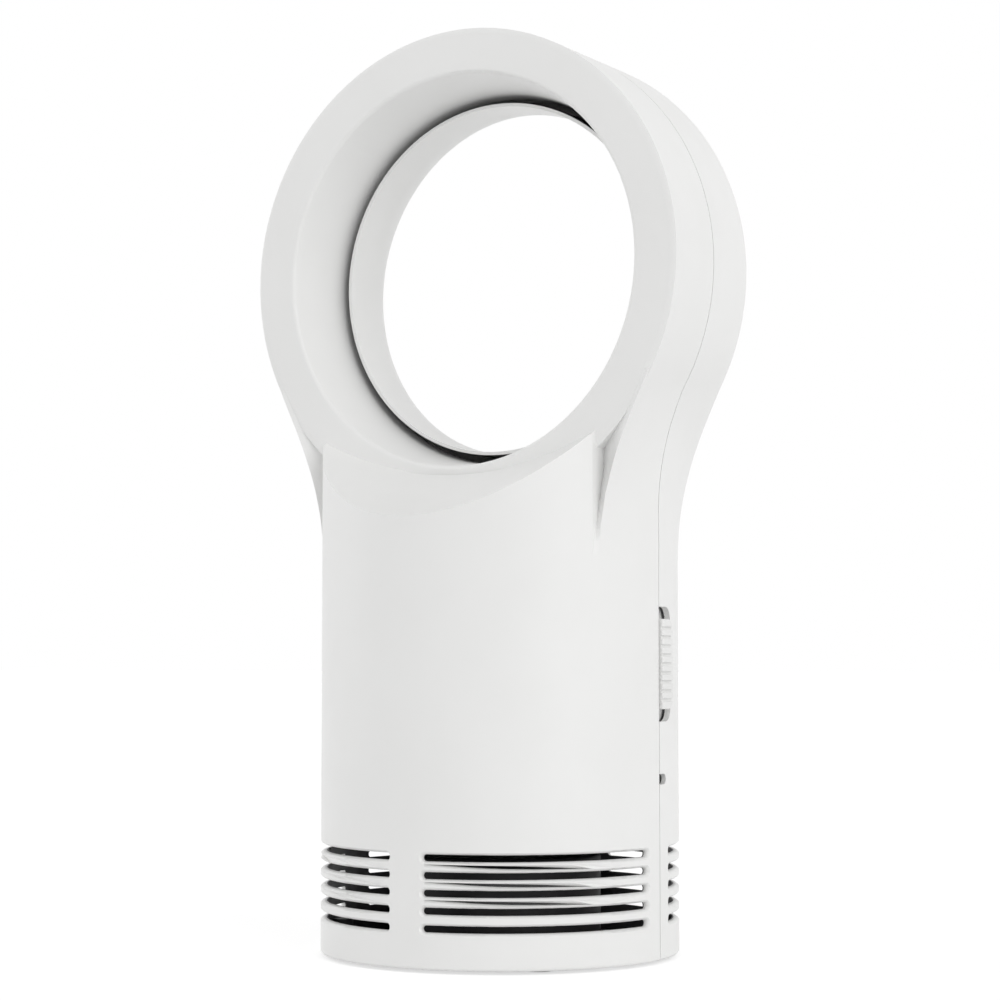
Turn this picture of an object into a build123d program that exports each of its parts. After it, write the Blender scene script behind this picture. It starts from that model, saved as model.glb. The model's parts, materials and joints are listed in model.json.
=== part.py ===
from build123d import *
import os
from math import cos, radians, sin, sqrt

os.makedirs("parts", exist_ok=True)

# Bladeless fan heater. Millimetres, +Z up, origin on the floor under the column's axis.
# The front faces -Y, +X is on the viewer's right, and the two shells meet in the plane Y = 0.

# Outer form
HEIGHT = 310.0
RING_R = 81.0
RING_FRONT = 28.4
RING_BACK = 30.0
COLUMN_R = 60.4
WALL = 2.4
SHELL_LIFT = 1.0
FOOT_ROUND = 1.2
BEVEL_IN = 2.4
BEVEL_DEEP = 0.8
REAR_ROUND = 6.0
SEAM_WIDTH = 0.5
SEAM_DEPTH = 0.5

# Neck between the column and the ring
NECK_DROP = 97.0
NECK_BACK_STEP = 4.0
NECK_FILLET = 90.0
CREASE_AHEAD = 2.1
GROOVE_DEPTH = 8.0
GROOVE_RISE = 30.0

# Scooped shoulders in front of the ring and behind it
SCOOP_R = 117.0
SCOOP_ABOVE = 48.5
SCOOP_SLOPE = 0.486
SHOULDER_HIGH = 46.0

# Air ring
SHROUD_R = RING_R - 15.2
SHROUD_BACK_R = SHROUD_R - 2.6
SHROUD_BACK_Y = 5.0
SHROUD_WALL = 1.9
SHROUD_LIP = 1.6
NOZZLE_LIP_R = SHROUD_R - 5.3
NOZZLE_LIP_Y = -2.6
NOZZLE_WALL = 1.5
NOZZLE_TIP = 1.1
THROAT_R = SHROUD_R - 6.4
THROAT_Y = 12.0
BELL_R = SHROUD_R + 4.4
NOZZLE_TAIL = 1.8
FLANGE_OUT = 2.6
FLANGE_THICK = 1.8

# Air inlet slots in the foot of the column
VENT_ROWS = 5
VENT_PITCH = 5.58
VENT_FIRST_Z = 13.9
VENT_GAP = 2.2
VENT_MOUTH = 3.9
VENT_CENTRE_LAND = 7.0
VENT_SEAM_LAND = 8.0
VENT_REAR_LAND = 12.0

# Running and seating clearances
FIT = 0.05
EASE = 0.15
SEAT = 0.3

# Base
PLATE_THICK = 2.4
BASE_BOSS_ANGLES = (20.0, 160.0, 200.0, 340.0)
BASE_BOSS_R = 3.6
BASE_BOSS_TOP = 10.8
SCREW_R = 1.3
SCREW_HEAD_R = 2.7
SCREW_HEAD = 1.3
FOOT_PAD_R = 6.0
FOOT_PAD_AT = 47.0
FOOT_PAD_SUNK = 0.7

# Electronics in the base
POD_R = 34.0
POD_WALL = 1.6
POD_TOP = 34.0
POWER_BOARD = (44.0, 30.0, 1.6)
POWER_BOARD_Y = 4.0
POWER_POST = 6.0
POST_R = 2.4
SMALL_SCREW_R = 1.1
SMALL_HEAD_R = 2.0
SMALL_HEAD = 1.1
TIP_Y = -22.0
TIP_BODY = (14.0, 10.0, 15.0)
TIP_STEM_R = 2.2
TIP_HEAD_R = 3.0
TIP_HEAD = 2.4
TIP_TRAVEL = 3.0
TIP_REST_Z = 0.1
SPRING_WIRE = 0.35
SPRING_TURNS = 5
GLAND_Z = 20.0
GLAND_R = 5.2
GLAND_BORE_R = 3.4
GLAND_LENGTH = 9.0

# Fan
DUCT_Z = 41.0
DUCT_THICK = 2.0
LEDGE = 2.2
LEDGE_WIDE = 3.6
EYE_R = 27.0
BELL_LIP = 4.2
IMPELLER_R = 42.0
IMPELLER_Z = 46.4
IMPELLER_HIGH = 14.4
IMPELLER_DISC = 1.6
BLADES = 9
BLADE_THICK = 1.3
HUB_R = 7.0
SHAFT_R = 1.6
MOUNT_Z = 64.2
MOUNT_FLANGE = 2.0
MOUNT_RING_R = 53.0
MOUNT_RING_WALL = 2.6
MOUNT_RING_UP = 6.0
VANES = 9
VANE_THICK = 1.5
MOTOR_R = 17.5
MOTOR_LONG = 30.0
CAN_WALL = 1.2
MAGNET_THICK = 4.6
ROTOR_GAP = 0.6
ISOLATOR_THICK = 1.2
CUP_WALL = 1.6
CUP_HIGH = 22.0

# Side control: a ribbed knob that slides up and down in a slot beside the seam
SLOT_LOW = 78.6
SLOT_TALL = 37.7
SLOT_WIDE = 9.6
SLOT_ROUND = 4.6
KNOB_TALL = 29.6
KNOB_PROUD = 1.3
KNOB_GAP = 0.4
RIB_COUNT = 9
RIB_PITCH = 2.94
RIB_DEPTH = 0.7
KNOB_TRAVEL = 3.6
PLATE_OVER = 7.8
KNOB_PLATE = 1.6
GUIDE_THICK = 2.2
SWITCH_BODY = (5.0, 7.4, 19.0)
LEVER = 2.6
CONTROL_BOARD = (1.6, 30.0, 50.0)
CONTROL_POST_Y = 17.0
CONTROL_POST_APART = 42.0

# Indicator
LED_Z = 59.85
LED_HOLE_TALL = 3.5
LED_HOLE_WIDE = 4.9
LED_R = 1.5
WINDOW_SUNK = 1.7
INDICATOR_POST_Y = 11.0

# Heater
HEATER_Z = 127.0
HEATER_PLATE = 1.6
HEATER_BOX = (80.0, 54.0, 18.0)
HEATER_RIM = 3.0
PTC_BARS = 3
PTC_THICK = 2.8
FIN_PITCH = 3.0
FIN_SHEET = 0.4
FIN_HIGH = 14.0
THERMOSTAT_R = 7.0

# Screws that join the two shells
CASE_SCREW_X = 30.0
CASE_SCREW_Z = 114.0
CASE_BOSS_R = 3.6
CASE_RECESS = 3.0

# Worked out from the sizes above
RING_Z = HEIGHT - RING_R
NECK_Z = RING_Z - NECK_DROP
NECK_BACK = RING_BACK - NECK_BACK_STEP
SCOOP_Z = RING_Z + SCOOP_ABOVE
INNER_R = COLUMN_R - WALL
CREASE_Y = RING_FRONT + CREASE_AHEAD
CREASE_X = sqrt(COLUMN_R**2 - CREASE_Y**2)
PLATE_TOP = SHELL_LIFT + PLATE_THICK
BASE_BOSS_AT = INNER_R - BASE_BOSS_R + 0.2
SLOT_MID = SLOT_LOW + SLOT_TALL / 2
WIDE = 400.0


def block(x0, x1, y0, y1, z0, z1):
    """Box between two corners."""
    return Pos((x0 + x1) / 2, (y0 + y1) / 2, (z0 + z1) / 2) * Box(x1 - x0, y1 - y0, z1 - z0)


def rod(radius, z0, z1, x=0.0, y=0.0):
    """Upright cylinder."""
    return Pos(x, y, (z0 + z1) / 2) * Cylinder(radius, z1 - z0)


def rod_x(radius, y, z, x0, x1):
    """Cylinder lying along X."""
    return Pos((x0 + x1) / 2, y, z) * Rot(0, 90, 0) * Cylinder(radius, x1 - x0)


def rod_y(radius, x, z, y0, y1):
    """Cylinder lying along Y."""
    return Pos(x, (y0 + y1) / 2, z) * Rot(90, 0, 0) * Cylinder(radius, y1 - y0)


def around_ring(*edges):
    """Turn a closed outline of (radius, depth) edges about the ring's axis."""
    outline = make_face(Wire(edges))
    return Pos(0, 0, RING_Z) * revolve(outline, axis=Axis.Y)


def turned(outline, arc=360.0):
    """Turn a face of (radius, height) about the column's axis, anticlockwise from +X."""
    return Rot(90, 0, 0) * revolve(outline, axis=Axis.Y, revolution_arc=arc)


def around_column(*points):
    """Turn a closed outline of (radius, height) points about the column's axis."""
    return turned(make_face(Polyline(*points, close=True)))


def at_angle(radius, angle):
    """Point at this radius and compass angle from +X."""
    return radius * cos(radians(angle)), radius * sin(radians(angle))


def cone_along_y(radius_a, y_a, radius_b, y_b, z):
    """Solid cone frustum about a line parallel to Y."""
    outline = Polyline((0, y_a), (radius_a, y_a), (radius_b, y_b), (0, y_b), close=True)
    return Pos(0, 0, z) * revolve(make_face(outline), axis=Axis.Y)


def neck_meets_ring(inset):
    """Where the neck's concave side is tangent to the ring, as x and z."""
    ring = RING_R - inset
    fillet_r = NECK_FILLET + inset
    across = COLUMN_R - inset + fillet_r
    down = sqrt((ring + fillet_r) ** 2 - across**2)
    share = ring / (ring + fillet_r)
    return across * share, RING_Z - down * share


def neck_side(z, inset):
    """Half width of the neck in the seam plane."""
    fillet_r = NECK_FILLET + inset
    across = COLUMN_R - inset + fillet_r
    down = sqrt((RING_R - inset + fillet_r) ** 2 - across**2)
    bottom = RING_Z - down
    if z <= bottom:
        return COLUMN_R - inset
    return across - sqrt(fillet_r**2 - (z - bottom) ** 2)


def neck_edge(z, y, inset):
    """Half width of the neck at depth y, from the column's circle to the ring's flat side."""
    start = sqrt((COLUMN_R - inset) ** 2 - y**2)
    top_x, top_z = neck_meets_ring(inset)
    t = (z - NECK_Z) / (top_z - NECK_Z)
    if t <= 0:
        return start
    slope = (RING_Z - top_z) / top_x * (top_z - NECK_Z) / (top_x - start)
    return start + (top_x - start) * ((3 - slope) * t**2 + (slope - 2) * t**3)


def neck_section(z, inset):
    """Level cut through the neck, a little deeper than the ring."""
    front = -RING_FRONT - 3.0
    back = RING_BACK + 3.0
    top_x, top_z = neck_meets_ring(inset)
    level = min(z, top_z)
    middle = neck_side(level, inset)
    ahead = neck_edge(level, front, inset)
    behind = neck_edge(level, back, inset)
    if z >= top_z:
        middle = top_x + 0.25
        ahead = top_x + 0.2
        behind = top_x + 0.2
    right = ThreePointArc((ahead, front), (middle, 0), (behind, back))
    left = ThreePointArc((-behind, back), (-middle, 0), (-ahead, front))
    near = Line((-ahead, front), (ahead, front))
    far = Line((behind, back), (-behind, back))
    return Pos(0, 0, z) * make_face(Wire([right.edge(), far.edge(), left.edge(), near.edge()]))


def neck(inset):
    """Fairing that widens from the column to the ring."""
    top = neck_meets_ring(inset)[1] + 1.5
    levels = [NECK_Z + (top - 1.5 - NECK_Z) * i / 6 for i in range(6)] + [top]
    body = loft([neck_section(z, inset) for z in levels])
    return body & block(-WIDE, WIDE, inset - RING_FRONT, NECK_BACK - inset, 0, WIDE)


def groove(inset):
    """Wedge cut outside each front crease; its bright floor runs out to the flare's front edge."""
    levels = [0.0, 10.0, 20.0, GROOVE_RISE, 45.0, neck_meets_ring(0)[1] + 2.0 - NECK_Z]
    sections = []
    for up in levels:
        depth = GROOVE_DEPTH * min(1.0, up / GROOVE_RISE)
        wall_x = CREASE_X
        wall_y = -CREASE_Y + depth
        edge_x = neck_edge(min(NECK_Z + up, neck_meets_ring(0)[1]), -RING_FRONT, 0)
        lean = (-RING_FRONT - wall_y) / (edge_x - wall_x)
        far_x = edge_x + 14.0
        far_y = wall_y + lean * (far_x - wall_x)
        outline = Polyline((wall_x, wall_y), (far_x, far_y), (far_x, -WIDE), (wall_x, -WIDE), close=True)
        sections.append(Pos(0, 0, NECK_Z + up) * make_face(outline))
    right = Pos(-inset, 1.25 * inset, 0) * loft(sections, ruled=True)
    return right + mirror(right, about=Plane.YZ)


def scoop(side, plane, inset):
    """Cone that hollows the shoulder on one side; side is -1 in front and 1 behind."""
    shift = inset * sqrt(1 + SCOOP_SLOPE**2)
    near = SCOOP_R + shift - SCOOP_SLOPE * inset
    far = SCOOP_R + shift + SCOOP_SLOPE * COLUMN_R
    return cone_along_y(near, side * (plane - inset), far, side * (plane + COLUMN_R), SCOOP_Z)


def shoulder(side, plane, inset):
    """Part of the column that stands up in front of the ring, or behind it."""
    near, far = sorted((side * (plane - inset), side * WIDE))
    body = rod(COLUMN_R - inset, NECK_Z, NECK_Z + SHOULDER_HIGH) & block(-WIDE, WIDE, near, far, 0, WIDE)
    return body - scoop(side, plane, inset)


def drum(inset):
    """The ring as a full disc, bevelled in front and rounded behind."""
    radius = RING_R - inset
    front = inset - RING_FRONT
    back = RING_BACK - inset
    bend = REAR_ROUND - inset
    corner = bend * (1 - sqrt(0.5))
    edges = [
        Line((0, front), (radius - BEVEL_IN, front)),
        Line((radius - BEVEL_IN, front), (radius, front + BEVEL_DEEP)),
        Line((radius, front + BEVEL_DEEP), (radius, back - bend)),
        ThreePointArc((radius, back - bend), (radius - corner, back - corner), (radius - bend, back)),
        Line((radius - bend, back), (0, back)),
        Line((0, back), (0, front)),
    ]
    return around_ring(*[edge.edge() for edge in edges])


def half_space(side, past=0.0):
    """Everything on one side of the seam, and a little past it."""
    near, far = sorted((-side * past, side * WIDE))
    return block(-WIDE, WIDE, near, far, -WIDE, WIDE)


def casing_form(inset, side, past=0.0, notches=()):
    """Front (-1) or rear (1) half of the casing's outer form, or of that form drawn in by the wall."""
    half = half_space(side, past)
    keyhole = (neck(inset) - groove(inset) + drum(inset)) & half
    column = rod(COLUMN_R - inset, SHELL_LIFT, NECK_Z)
    if inset == 0:
        column = fillet(column.edges().sort_by(Axis.Z)[0:1], FOOT_ROUND)
    else:
        column += rod(COLUMN_R - inset, SHELL_LIFT - 5.0, SHELL_LIFT)
    for notch in notches:
        column -= notch
    if side < 0:
        stand = shoulder(side, RING_FRONT, inset) - groove(inset)
    else:
        stand = shoulder(side, NECK_BACK, inset)
    return (column & half) + keyhole + stand


def seam_outline(inset):
    """Outline of the casing in the seam plane, drawn in or grown."""
    half = COLUMN_R - inset
    top_x, top_z = neck_meets_ring(inset)
    bend_z = RING_Z - sqrt((RING_R + NECK_FILLET) ** 2 - (half + NECK_FILLET + inset) ** 2)
    turn_z = (bend_z + top_z) / 2
    turn_x = neck_side(turn_z, inset)
    edges = [Line((-half, 0, -WALL), (half, 0, -WALL)), Line((half, 0, -WALL), (half, 0, bend_z))]
    edges.append(ThreePointArc((half, 0, bend_z), (turn_x, 0, turn_z), (top_x, 0, top_z)))
    edges.append(ThreePointArc((top_x, 0, top_z), (0, 0, RING_Z + RING_R - inset), (-top_x, 0, top_z)))
    edges.append(ThreePointArc((-top_x, 0, top_z), (-turn_x, 0, turn_z), (-half, 0, bend_z)))
    edges.append(Line((-half, 0, bend_z), (-half, 0, -WALL)))
    return make_face(Wire([edge.edge() for edge in edges]))


def seam_groove():
    """Fine line around the casing where the two shells meet."""
    half = SEAM_WIDTH / 2
    outer = extrude(seam_outline(-1.0), half, both=True, dir=(0, 1, 0))
    inner = extrude(seam_outline(SEAM_DEPTH), SEAM_WIDTH, both=True, dir=(0, 1, 0))
    return outer - inner


def vent_outline(z):
    """Section of one inlet slot, narrow inside and flared to its mouth."""
    inside = INNER_R - 1.5
    outside = COLUMN_R + 1.0
    narrow = VENT_GAP / 2
    mouth = VENT_MOUTH / 2
    bend = inside + 2.0
    upper = ThreePointArc((bend, z + narrow), (COLUMN_R - 0.7, z + narrow + 0.25), (COLUMN_R, z + mouth))
    lower = ThreePointArc((COLUMN_R, z - mouth), (COLUMN_R - 0.7, z - narrow - 0.25), (bend, z - narrow))
    edges = [
        Line((inside, z + narrow), (bend, z + narrow)),
        upper,
        Line((COLUMN_R, z + mouth), (outside, z + mouth)),
        Line((outside, z + mouth), (outside, z - mouth)),
        Line((outside, z - mouth), (COLUMN_R, z - mouth)),
        lower,
        Line((bend, z - narrow), (inside, z - narrow)),
        Line((inside, z - narrow), (inside, z + narrow)),
    ]
    return make_face(Wire([edge.edge() for edge in edges]))


def vent_end(z):
    """Round flared end of a slot, on the +X axis."""
    inside = INNER_R - 1.5
    narrow = VENT_GAP / 2
    mouth = VENT_MOUTH / 2
    edges = [
        Line((inside, 0), (inside, narrow)),
        Line((inside, narrow), (inside + 2.0, narrow)),
        ThreePointArc((inside + 2.0, narrow), (COLUMN_R - 0.7, narrow + 0.25), (COLUMN_R, mouth)),
        Line((COLUMN_R, mouth), (COLUMN_R + 1.0, mouth)),
        Line((COLUMN_R + 1.0, mouth), (COLUMN_R + 1.0, 0)),
        Line((COLUMN_R + 1.0, 0), (inside, 0)),
    ]
    outline = make_face(Wire([edge.edge() for edge in edges]))
    return Pos(0, 0, z) * revolve(outline, axis=Axis.X)


def vents(start, stop):
    """Rows of slots between two compass angles."""
    cuts = []
    for row in range(VENT_ROWS):
        z = VENT_FIRST_Z + row * VENT_PITCH
        cuts.append(Rot(0, 0, start) * turned(vent_outline(z), stop - start))
        cuts.append(Rot(0, 0, start) * vent_end(z))
        cuts.append(Rot(0, 0, stop) * vent_end(z))
    return cuts


def ledge(top):
    """Rib inside both shells that a plate rests on."""
    return rod(INNER_R + 1.0, top - LEDGE, top) - rod(INNER_R - LEDGE_WIDE, top - LEDGE - 1, top + 1)


def base_bosses(side):
    """Posts on one shell that take the base screws."""
    posts = []
    for angle in BASE_BOSS_ANGLES:
        x, y = at_angle(BASE_BOSS_AT, angle)
        if y * side < 0:
            continue
        post = rod(BASE_BOSS_R, PLATE_TOP, BASE_BOSS_TOP, x, y)
        posts.append(post - rod(SCREW_R + FIT, PLATE_TOP, BASE_BOSS_TOP - 1.5, x, y))
    return posts


def shroud():
    """Inner wall of the ring's front, from the rounded lip back past the air slot."""
    front = -RING_FRONT
    lip = front + SHROUD_LIP
    bend = SHROUD_LIP * (1 - sqrt(0.5))
    middle_y = (lip + SHROUD_BACK_Y) / 2
    middle_r = (SHROUD_R + SHROUD_BACK_R) / 2 - 0.4
    root_r = SHROUD_R + 5.2
    root_y = front + WALL
    back_r = SHROUD_BACK_R + SHROUD_WALL
    edges = [
        Line((root_r, front), (SHROUD_R + SHROUD_LIP, front)),
        ThreePointArc((SHROUD_R + SHROUD_LIP, front), (SHROUD_R + bend, front + bend), (SHROUD_R, lip)),
        ThreePointArc((SHROUD_R, lip), (middle_r, middle_y), (SHROUD_BACK_R, SHROUD_BACK_Y)),
        Line((SHROUD_BACK_R, SHROUD_BACK_Y), (back_r, SHROUD_BACK_Y)),
        ThreePointArc((back_r, SHROUD_BACK_Y), (middle_r + SHROUD_WALL, middle_y), (SHROUD_R + SHROUD_WALL, lip)),
        Line((SHROUD_R + SHROUD_WALL, lip), (root_r, root_y)),
        Line((root_r, root_y), (root_r, front)),
    ]
    return around_ring(*[edge.edge() for edge in edges])


def case_boss(side):
    """Long bosses that carry the case screws, from the wall to the seam."""
    reach = sqrt(INNER_R**2 - (CASE_SCREW_X + CASE_BOSS_R) ** 2) + 1.0
    near, far = sorted((0.0, side * reach))
    return [rod_y(CASE_BOSS_R, x, CASE_SCREW_Z, near, far) for x in (-CASE_SCREW_X, CASE_SCREW_X)]


def case_screw_seat():
    """Depth at which the screw heads sit inside the rear bosses."""
    return sqrt(COLUMN_R**2 - CASE_SCREW_X**2) - WALL - CASE_RECESS


def casing_wall(side):
    """One shell's wall, with its ledges, inlet slots and half of the seam line."""
    ledges = [ledge(DUCT_Z), ledge(MOUNT_Z), ledge(HEATER_Z)]
    wall = casing_form(0, side) - casing_form(WALL, side, 2.0, ledges)
    if side < 0:
        quarter = [mirror(cut, about=Plane.XZ) for cut in vents(VENT_SEAM_LAND, 90 - VENT_CENTRE_LAND)]
    else:
        quarter = vents(VENT_SEAM_LAND, 90 - VENT_REAR_LAND)
    wall -= quarter
    wall -= [mirror(cut, about=Plane.YZ) for cut in quarter]
    return wall - seam_groove()


def front_shell():
    body = casing_wall(-1)
    body -= rod_y(SHROUD_R + 4.0, 0, RING_Z, -RING_FRONT - 1.0, -RING_FRONT + WALL + 1.0)
    body += shroud()
    body += case_boss(-1)
    body += base_bosses(-1)
    for x in (-CASE_SCREW_X, CASE_SCREW_X):
        body -= rod_y(SCREW_R + FIT, x, CASE_SCREW_Z, -16.0, 1.0)
    return body


def knob_slot():
    """Opening for the sliding knob, square at the seam and rounded behind."""
    low = block(INNER_R - 8, COLUMN_R + 2, 0, SLOT_WIDE, SLOT_LOW, SLOT_LOW + SLOT_TALL)
    corners = low.edges().filter_by(Axis.X).sort_by(Axis.Y)[2:4]
    return fillet(corners, SLOT_ROUND)


def led_hole(grow=0.0):
    """Opening of the indicator, square at the seam and round behind."""
    half = LED_HOLE_TALL / 2 + grow
    straight = LED_HOLE_WIDE - LED_HOLE_TALL / 2
    body = block(INNER_R - 6, COLUMN_R + 2, -grow, straight, LED_Z - half, LED_Z + half)
    return body + rod_x(half, straight, LED_Z, INNER_R - 6, COLUMN_R + 2)


def control_posts():
    """Bosses on the rear shell's wall for the guide and control board."""
    for step in (-1, 1):
        z = SLOT_MID + step * CONTROL_POST_APART / 2
        wall_x = sqrt(INNER_R**2 - (CONTROL_POST_Y + POST_R) ** 2) + 1.5
        yield rod_x(POST_R, CONTROL_POST_Y, z, guide_face(), wall_x)


def knob_plate_face():
    """Outer face of the knob's sliding plate, just inside the casing wall."""
    return sqrt(INNER_R**2 - (SLOT_WIDE + 2.0) ** 2) - SEAT


def guide_face():
    """Face of the guide that the sliding plate runs on."""
    return knob_plate_face() - KNOB_PLATE - SEAT


def board_face():
    """Outer face of the control board."""
    return guide_face() - GUIDE_THICK - SWITCH_BODY[0] - SEAT


def rear_shell():
    body = casing_wall(1)
    body -= rod_y(BELL_R + NOZZLE_TAIL + EASE, 0, RING_Z, RING_BACK - WALL - 1.0, RING_BACK + 1.0)
    body += case_boss(1)
    body += base_bosses(1)
    body += list(control_posts())
    body += indicator_post()
    seat = case_screw_seat()
    for x in (-CASE_SCREW_X, CASE_SCREW_X):
        body -= rod_y(SCREW_HEAD_R + EASE, x, CASE_SCREW_Z, seat, COLUMN_R)
        body -= rod_y(SCREW_R + FIT, x, CASE_SCREW_Z, -1.0, seat + 1.0)
    for step in (-1, 1):
        z = SLOT_MID + step * CONTROL_POST_APART / 2
        body -= rod_x(SMALL_SCREW_R + FIT, CONTROL_POST_Y, z, guide_face() - 1.0, guide_face() + 3.0)
    body -= rod_x(SMALL_SCREW_R + FIT, INDICATOR_POST_Y, LED_Z - 2.0, indicator_face() - 1.0, INNER_R - 3.5)
    body += gland_boss()
    body -= rod_y(GLAND_R + EASE, 0, GLAND_Z, COLUMN_R - 1.4, COLUMN_R + 2.0)
    body -= rod_y(GLAND_R - 1.2 + EASE, 0, GLAND_Z, INNER_R - 8.0, COLUMN_R + 2.0)
    return body - knob_slot() - led_hole()


def nozzle_ring():
    """Inner ring: thin lip at the air slot, throat, and a bell mouth behind."""
    tail_y = RING_BACK
    drop = BELL_R - THROAT_R
    run = tail_y - THROAT_Y
    bell = (drop**2 + run**2) / (2 * drop)
    centre = THROAT_R + bell
    outer = bell - NOZZLE_WALL
    flange_back = RING_BACK - WALL
    flange_front = flange_back - FLANGE_THICK

    def on_bell(radius, y):
        return centre - sqrt(radius**2 - (y - THROAT_Y) ** 2)

    half = (THROAT_Y + tail_y) / 2
    half_out = (THROAT_Y + flange_front) / 2
    tail_r = BELL_R + NOZZLE_TAIL
    rim_r = tail_r + FLANGE_OUT
    lip_in = NOZZLE_LIP_R - NOZZLE_TIP
    middle_y = (NOZZLE_LIP_Y + THROAT_Y) / 2
    edges = [
        ThreePointArc((lip_in, NOZZLE_LIP_Y), (THROAT_R - 0.15, middle_y), (THROAT_R, THROAT_Y)),
        ThreePointArc((THROAT_R, THROAT_Y), (on_bell(bell, half), half), (BELL_R, tail_y)),
        Line((BELL_R, tail_y), (tail_r, tail_y)),
        Line((tail_r, tail_y), (tail_r, flange_back)),
        Line((tail_r, flange_back), (rim_r, flange_back)),
        Line((rim_r, flange_back), (rim_r, flange_front)),
        Line((rim_r, flange_front), (on_bell(outer, flange_front), flange_front)),
        ThreePointArc((on_bell(outer, flange_front), flange_front), (on_bell(outer, half_out), half_out),
                      (THROAT_R + NOZZLE_WALL, THROAT_Y)),
        Line((THROAT_R + NOZZLE_WALL, THROAT_Y), (NOZZLE_LIP_R, NOZZLE_LIP_Y)),
        Line((NOZZLE_LIP_R, NOZZLE_LIP_Y), (lip_in, NOZZLE_LIP_Y)),
    ]
    return around_ring(*[edge.edge() for edge in edges])


def foot_places():
    return [at_angle(FOOT_PAD_AT, angle) for angle in (45, 135, 225, 315)]


def post_places():
    long, deep, _ = POWER_BOARD
    return [(x * (long / 2 - 3.5), POWER_BOARD_Y + y * (deep / 2 - 3.5)) for x in (-1, 1) for y in (-1, 1)]


def base_plate():
    body = rod(INNER_R - EASE, SHELL_LIFT, PLATE_TOP)
    body += [rod(POST_R, PLATE_TOP, PLATE_TOP + POWER_POST, x, y) for x, y in post_places()]
    body -= [rod(SMALL_SCREW_R + FIT, PLATE_TOP, PLATE_TOP + POWER_POST, x, y) for x, y in post_places()]
    body -= [rod(FOOT_PAD_R + EASE, 0, SHELL_LIFT + FOOT_PAD_SUNK, x, y) for x, y in foot_places()]
    for angle in BASE_BOSS_ANGLES:
        x, y = at_angle(BASE_BOSS_AT, angle)
        body -= rod(SCREW_R + FIT, 0, PLATE_TOP, x, y)
        body -= rod(SCREW_HEAD_R + EASE, 0, SHELL_LIFT + SCREW_HEAD, x, y)
    return body - rod(TIP_STEM_R + FIT, 0, PLATE_TOP, 0, TIP_Y)


def rubber_feet():
    feet = []
    for x, y in foot_places():
        pad = rod(FOOT_PAD_R, 0, SHELL_LIFT + FOOT_PAD_SUNK, x, y)
        feet.append(chamfer(pad.edges().sort_by(Axis.Z)[0:1], 0.4))
    return feet


def screw(length, shank, head_r, head, drive=True):
    """Pan-head screw: head above Z = 0, shank below."""
    body = rod(head_r, 0, head) + rod(shank, -length, 0)
    body = fillet(body.edges().sort_by(Axis.Z)[-1:], head * 0.45)
    if drive:
        body -= block(-head_r * 0.6, head_r * 0.6, -0.25, 0.25, head * 0.45, head + 1)
        body -= block(-0.25, 0.25, -head_r * 0.6, head_r * 0.6, head * 0.45, head + 1)
    return body


def base_screws():
    """Four screws up through the base plate into the shells' posts."""
    long = BASE_BOSS_TOP - 2.5 - SHELL_LIFT - SCREW_HEAD
    one = screw(long, SCREW_R, SCREW_HEAD_R, SCREW_HEAD)
    placed = []
    for angle in BASE_BOSS_ANGLES:
        x, y = at_angle(BASE_BOSS_AT, angle)
        placed.append(Pos(x, y, SHELL_LIFT + SCREW_HEAD) * Rot(180, 0, 0) * one)
    return placed


def case_screws():
    """Two screws from the back of the rear shell into the front shell's bosses."""
    seat = case_screw_seat()
    one = screw(seat + 14.0, SCREW_R, SCREW_HEAD_R, SCREW_HEAD + 0.5)
    return [Pos(x, seat, CASE_SCREW_Z) * Rot(-90, 0, 0) * one for x in (-CASE_SCREW_X, CASE_SCREW_X)]


def electronics_cover():
    """Dark round cover over the electronics, seen through the inlet slots."""
    body = rod(POD_R, PLATE_TOP, POD_TOP) - rod(POD_R - POD_WALL, 0, POD_TOP - POD_WALL)
    body = fillet(body.edges().filter_by(GeomType.CIRCLE).sort_by(Axis.Z)[-1:], 1.2)
    low = PLATE_TOP
    body -= block(-5, 5, POD_R - 8, POD_R + 2, low, low + 8)
    return body


def power_board():
    long, deep, thick = POWER_BOARD
    z = PLATE_TOP + POWER_POST
    body = block(-long / 2, long / 2, POWER_BOARD_Y - deep / 2, POWER_BOARD_Y + deep / 2, z, z + thick)
    return body - [rod(SMALL_SCREW_R + FIT, z, z + thick, x, y) for x, y in post_places()]


def power_screws():
    z = PLATE_TOP + POWER_POST + POWER_BOARD[2]
    one = screw(POWER_BOARD[2] + POWER_POST - 1.0, SMALL_SCREW_R, SMALL_HEAD_R, SMALL_HEAD)
    return [Pos(x, y, z) * one for x, y in post_places()]


def relays():
    """Two sealed relays that switch the heating stages."""
    z = PLATE_TOP + POWER_POST + POWER_BOARD[2]
    bodies = []
    for x in (-11.0, 0.5):
        case = block(x, x + 10.0, POWER_BOARD_Y - 12.0, POWER_BOARD_Y - 2.0, z, z + 12.0)
        bodies.append(fillet(case.edges().filter_by(Axis.Z), 0.6))
    return bodies


def terminal_block():
    """Three-way screw terminal for the supply."""
    z = PLATE_TOP + POWER_POST + POWER_BOARD[2]
    y0 = POWER_BOARD_Y + 3.0
    body = block(-11.0, 11.0, y0, y0 + 9.0, z, z + 9.0)
    for step in (-1, 0, 1):
        x = step * 7.2
        body -= rod(1.9, z + 4.0, z + 10.0, x, y0 + 4.5)
        body -= rod_y(1.7, x, z + 3.2, y0 + 4.5, y0 + 10.0)
    return body


def tip_switch_body():
    long, deep, high = TIP_BODY
    z = PLATE_TOP
    body = block(-long / 2, long / 2, TIP_Y - deep / 2, TIP_Y + deep / 2, z, z + high)
    body = fillet(body.edges().filter_by(Axis.Z), 0.8)
    return body - rod(TIP_HEAD_R + FIT, z, z + high - 2.0, 0, TIP_Y)


def tip_head_low():
    return PLATE_TOP + TIP_TRAVEL + 0.2


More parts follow.
